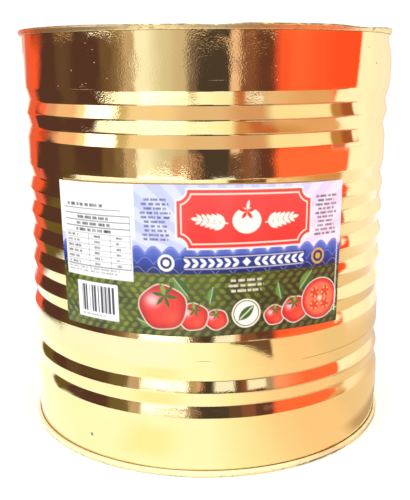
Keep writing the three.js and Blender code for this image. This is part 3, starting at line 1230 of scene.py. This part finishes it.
def seen_in_gloss_only(piece, material):
    piece.data.materials.append(material)
    piece.visible_camera = False
    piece.visible_diffuse = False
    piece.visible_transmission = False
    piece.visible_volume_scatter = False
    piece.visible_shadow = False
    piece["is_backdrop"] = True


def drum(name, radius, angle, top, closed=False):
    """An upright sheet from the floor to top: x = radius sin(angle), y = -radius cos(angle)."""
    points = np.broadcast_arrays(radius * np.sin(angle), -radius * np.cos(angle), [[0.0], [top]])
    return mesh_piece(name, np.stack(points, -1).reshape(-1, 3), grid_faces(2, len(angle), closed))


def flat_square(name, reach, height):
    corners = np.array([[-1, -1, 0], [1, -1, 0], [1, 1, 0], [-1, 1, 0]])
    return mesh_piece(name, corners * reach + (0, 0, height), np.arange(4))


def soft_patches(rows, angle, along):
    """Cover and light of each row of a table of patches."""
    for first, last, soft, near, far, blur, strength, light_colour in rows:
        yield angle.between(first, last, soft) * along.between(near, far, blur) * strength, light_colour


def low_screen(paint, angle, height):
    """Up to the height of the tin: red at the left, brown, pale in front, dark, and red."""
    red_end = angle + (0.212 - height) * BROWN_START_LEAN
    scarlet_end = angle + (0.217 - height) * SCARLET_END_LEAN
    return patched(paint, striped(paint, angle, LIT_WHITE, LOW_STRIPES), (
        (angle.above(-126, 2) * red_end.below(BROWN_START, 2.5), (0.98, 0.125, 0.05)),
        *soft_patches(SCREEN_PATCHES, angle, height),
        (scarlet_end.above(SCARLET_END, 1.3), CREAM_WHITE),
    ))


def make_screen():
    """An upright screen right round the tin, dark below and pale above."""
    columns = np.arange(SCREEN_COLUMNS) * TURN / SCREEN_COLUMNS
    screen = drum("screen", SCREEN_R, columns, SCREEN_TOP, closed=True)
    paint = Paint("screen")
    _, angle, height = paint.round_axis(paint.place())
    low = low_screen(paint, angle, height)
    high = striped(paint, angle, (1.0, 0.19, 0.12), HIGH_STRIPES)
    colour = paint.mix(height.above(SCREEN_LOW_TOP, 0.012), low, high)
    colour = patched(paint, striped(paint, angle, colour, SIDE_STRIPES), (
        (angle.below(-141, 3), LIT_WHITE),
        (angle.between(-146, -135, 3) * height.above(0.226, 0.006), (0.95, 0.55, 0.50)),
    ))
    seen_in_gloss_only(screen, paint.finish(glow(paint, colour)))


def make_cards():
    """Part of a drum, clear but for its cards, a faint veil in front of the label's right end,
    and two cream bands with leaning ends at the far right."""
    columns = np.radians(np.linspace(CARD_FIRST, CARD_LAST, CARD_COLUMNS))
    cards = drum("cards", CARD_R, columns, CARD_TOP)
    paint = Paint("cards")
    _, angle, height = paint.round_axis(paint.place())
    lights = list(soft_patches(CARDS, angle, height))
    leaning = angle - (height - 0.15) * 80
    bands = height.between(0.143, 0.188, 0.002) + height.between(0.079, 0.118, 0.002)
    lights.append((leaning.above(80.4, 1.2) * bands, CREAM_WHITE))
    cover = angle.above(30, 1) * angle.below(44, 14) * height.between(0.05, 0.092, 0.006) * 0.35
    for card, _ in lights:
        cover = cover.or_more(card)
    lit = glow(paint, patched(paint, (1.0, 0.95, 0.80), lights))
    clear = paint.add("ShaderNodeBsdfTransparent")
    shader = paint.add("ShaderNodeMixShader", None, {0: cover, 1: clear, 2: lit})
    seen_in_gloss_only(cards, paint.finish(shader))


def make_mat():
    """The ground that the gloss sees, glowing: white, peach at the right, dark and orange further out,
    and a dark wedge of painted shadow at the front right.
    """
    paint = Paint("mat")
    reach, angle, _ = paint.round_axis(paint.place())
    orange = paint.mix(reach.above(0.455, 0.015), (0.67, 0.34, 0.14), ORANGE)
    core = angle + (reach - 0.447) * 190
    # Painted shadow: a dark wedge on the glowing ground at the front right.
    shadow_wedge = angle.between(12, 33.2, 1.0) * (reach + (angle - 32.8) * 0.0022).above(0.270, 0.005)
    beyond = reach - 0.3
    left = (angle - beyond * beyond * 620).below(-88, 3) * reach.above(0.288, 0.014)
    dark = paint.mix(reach.above(0.43, 0.02), (0.15, 0.115, 0.035), DARK_BROWN)
    dark = paint.mix(angle.above(-118, 4), (0.9, 0.15, 0.1), dark)
    colour = patched(paint, striped(paint, angle, GROUND_WHITE, GROUND_STRIPES), (
        *soft_patches(MAT_PATCHES, angle, reach),
        (angle.between(16, 86, 3) * reach.above(0.355, 0.02), orange),
        (core.between(19.5, 37.5, 3) * reach.above(0.37, 0.02), (0.56, 0.17, 0.07)),
        (shadow_wedge * reach.below(0.35, 0.006), (0.16, 0.09, 0.06)),
        (left * angle.above(-141, 6), dark),
    ))
    mat = flat_square("mat", MAT_REACH, MAT_HEIGHT)
    seen_in_gloss_only(mat, paint.finish(glow(paint, colour)))


def make_floor():
    floor = flat_square("floor", FLOOR_REACH, 0)
    paint = Paint("pale_floor")
    floor.data.materials.append(paint.finish(paint.add("ShaderNodeBsdfPrincipled", None, {
        "Base Color": (0.95, 0.95, 0.945, 1.0),
        "Roughness": 0.8,
        "Specular IOR Level": 0.0,
    })))
    floor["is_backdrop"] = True


def light(name, place, target, size, watts, glossy=True):
    lamp = bpy.data.lights.new(name, "AREA")
    lamp.size = size
    lamp.energy = watts
    lamp_object = bpy.data.objects.new(name, lamp)
    lamp_object.location = place
    lamp_object.rotation_euler = (Vector(target) - Vector(place)).to_track_quat("-Z", "Y").to_euler()
    lamp_object.visible_glossy = glossy
    bpy.context.scene.collection.objects.link(lamp_object)


def light_studio():
    world = bpy.data.worlds.new("white_surroundings")
    world.use_nodes = True
    world.node_tree.nodes["Background"].inputs["Color"].default_value = (1, 1, 1, 1)
    world.node_tree.nodes["Background"].inputs["Strength"].default_value = 1.06
    bpy.context.scene.world = world
    light("overhead_softbox", (0.0, -0.2, 1.9), (0, 0, 0), 1.6, 18)
    light("front_fill", (0.1, -1.6, 0.9), (0, 0, 0.1), 0.8, 2, glossy=False)
    bpy.context.scene.view_settings.view_transform = "Standard"


def dress():
    top, bottom = make_ends()
    end_finish = lacquered_end()
    pieces = (
        (make_wall(), "can_body", "lacquered_wall", lacquered_wall()),
        (top, "top_end", "lacquered_end", end_finish),
        (bottom, "bottom_end", "lacquered_end", end_finish),
        (make_label(), "label", "label_paper", printed_paper()),
    )
    for piece, node, slot, material in pieces:
        piece.data.materials.append(material)
        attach(piece, "root")
        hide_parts(node)


dress()
make_screen()
make_cards()
make_mat()
make_floor()
light_studio()

boxes = {"cad": CAD_BOX, "visual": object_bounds()}
{name: [list(corner) for corner in box] for name, box in boxes.items()}
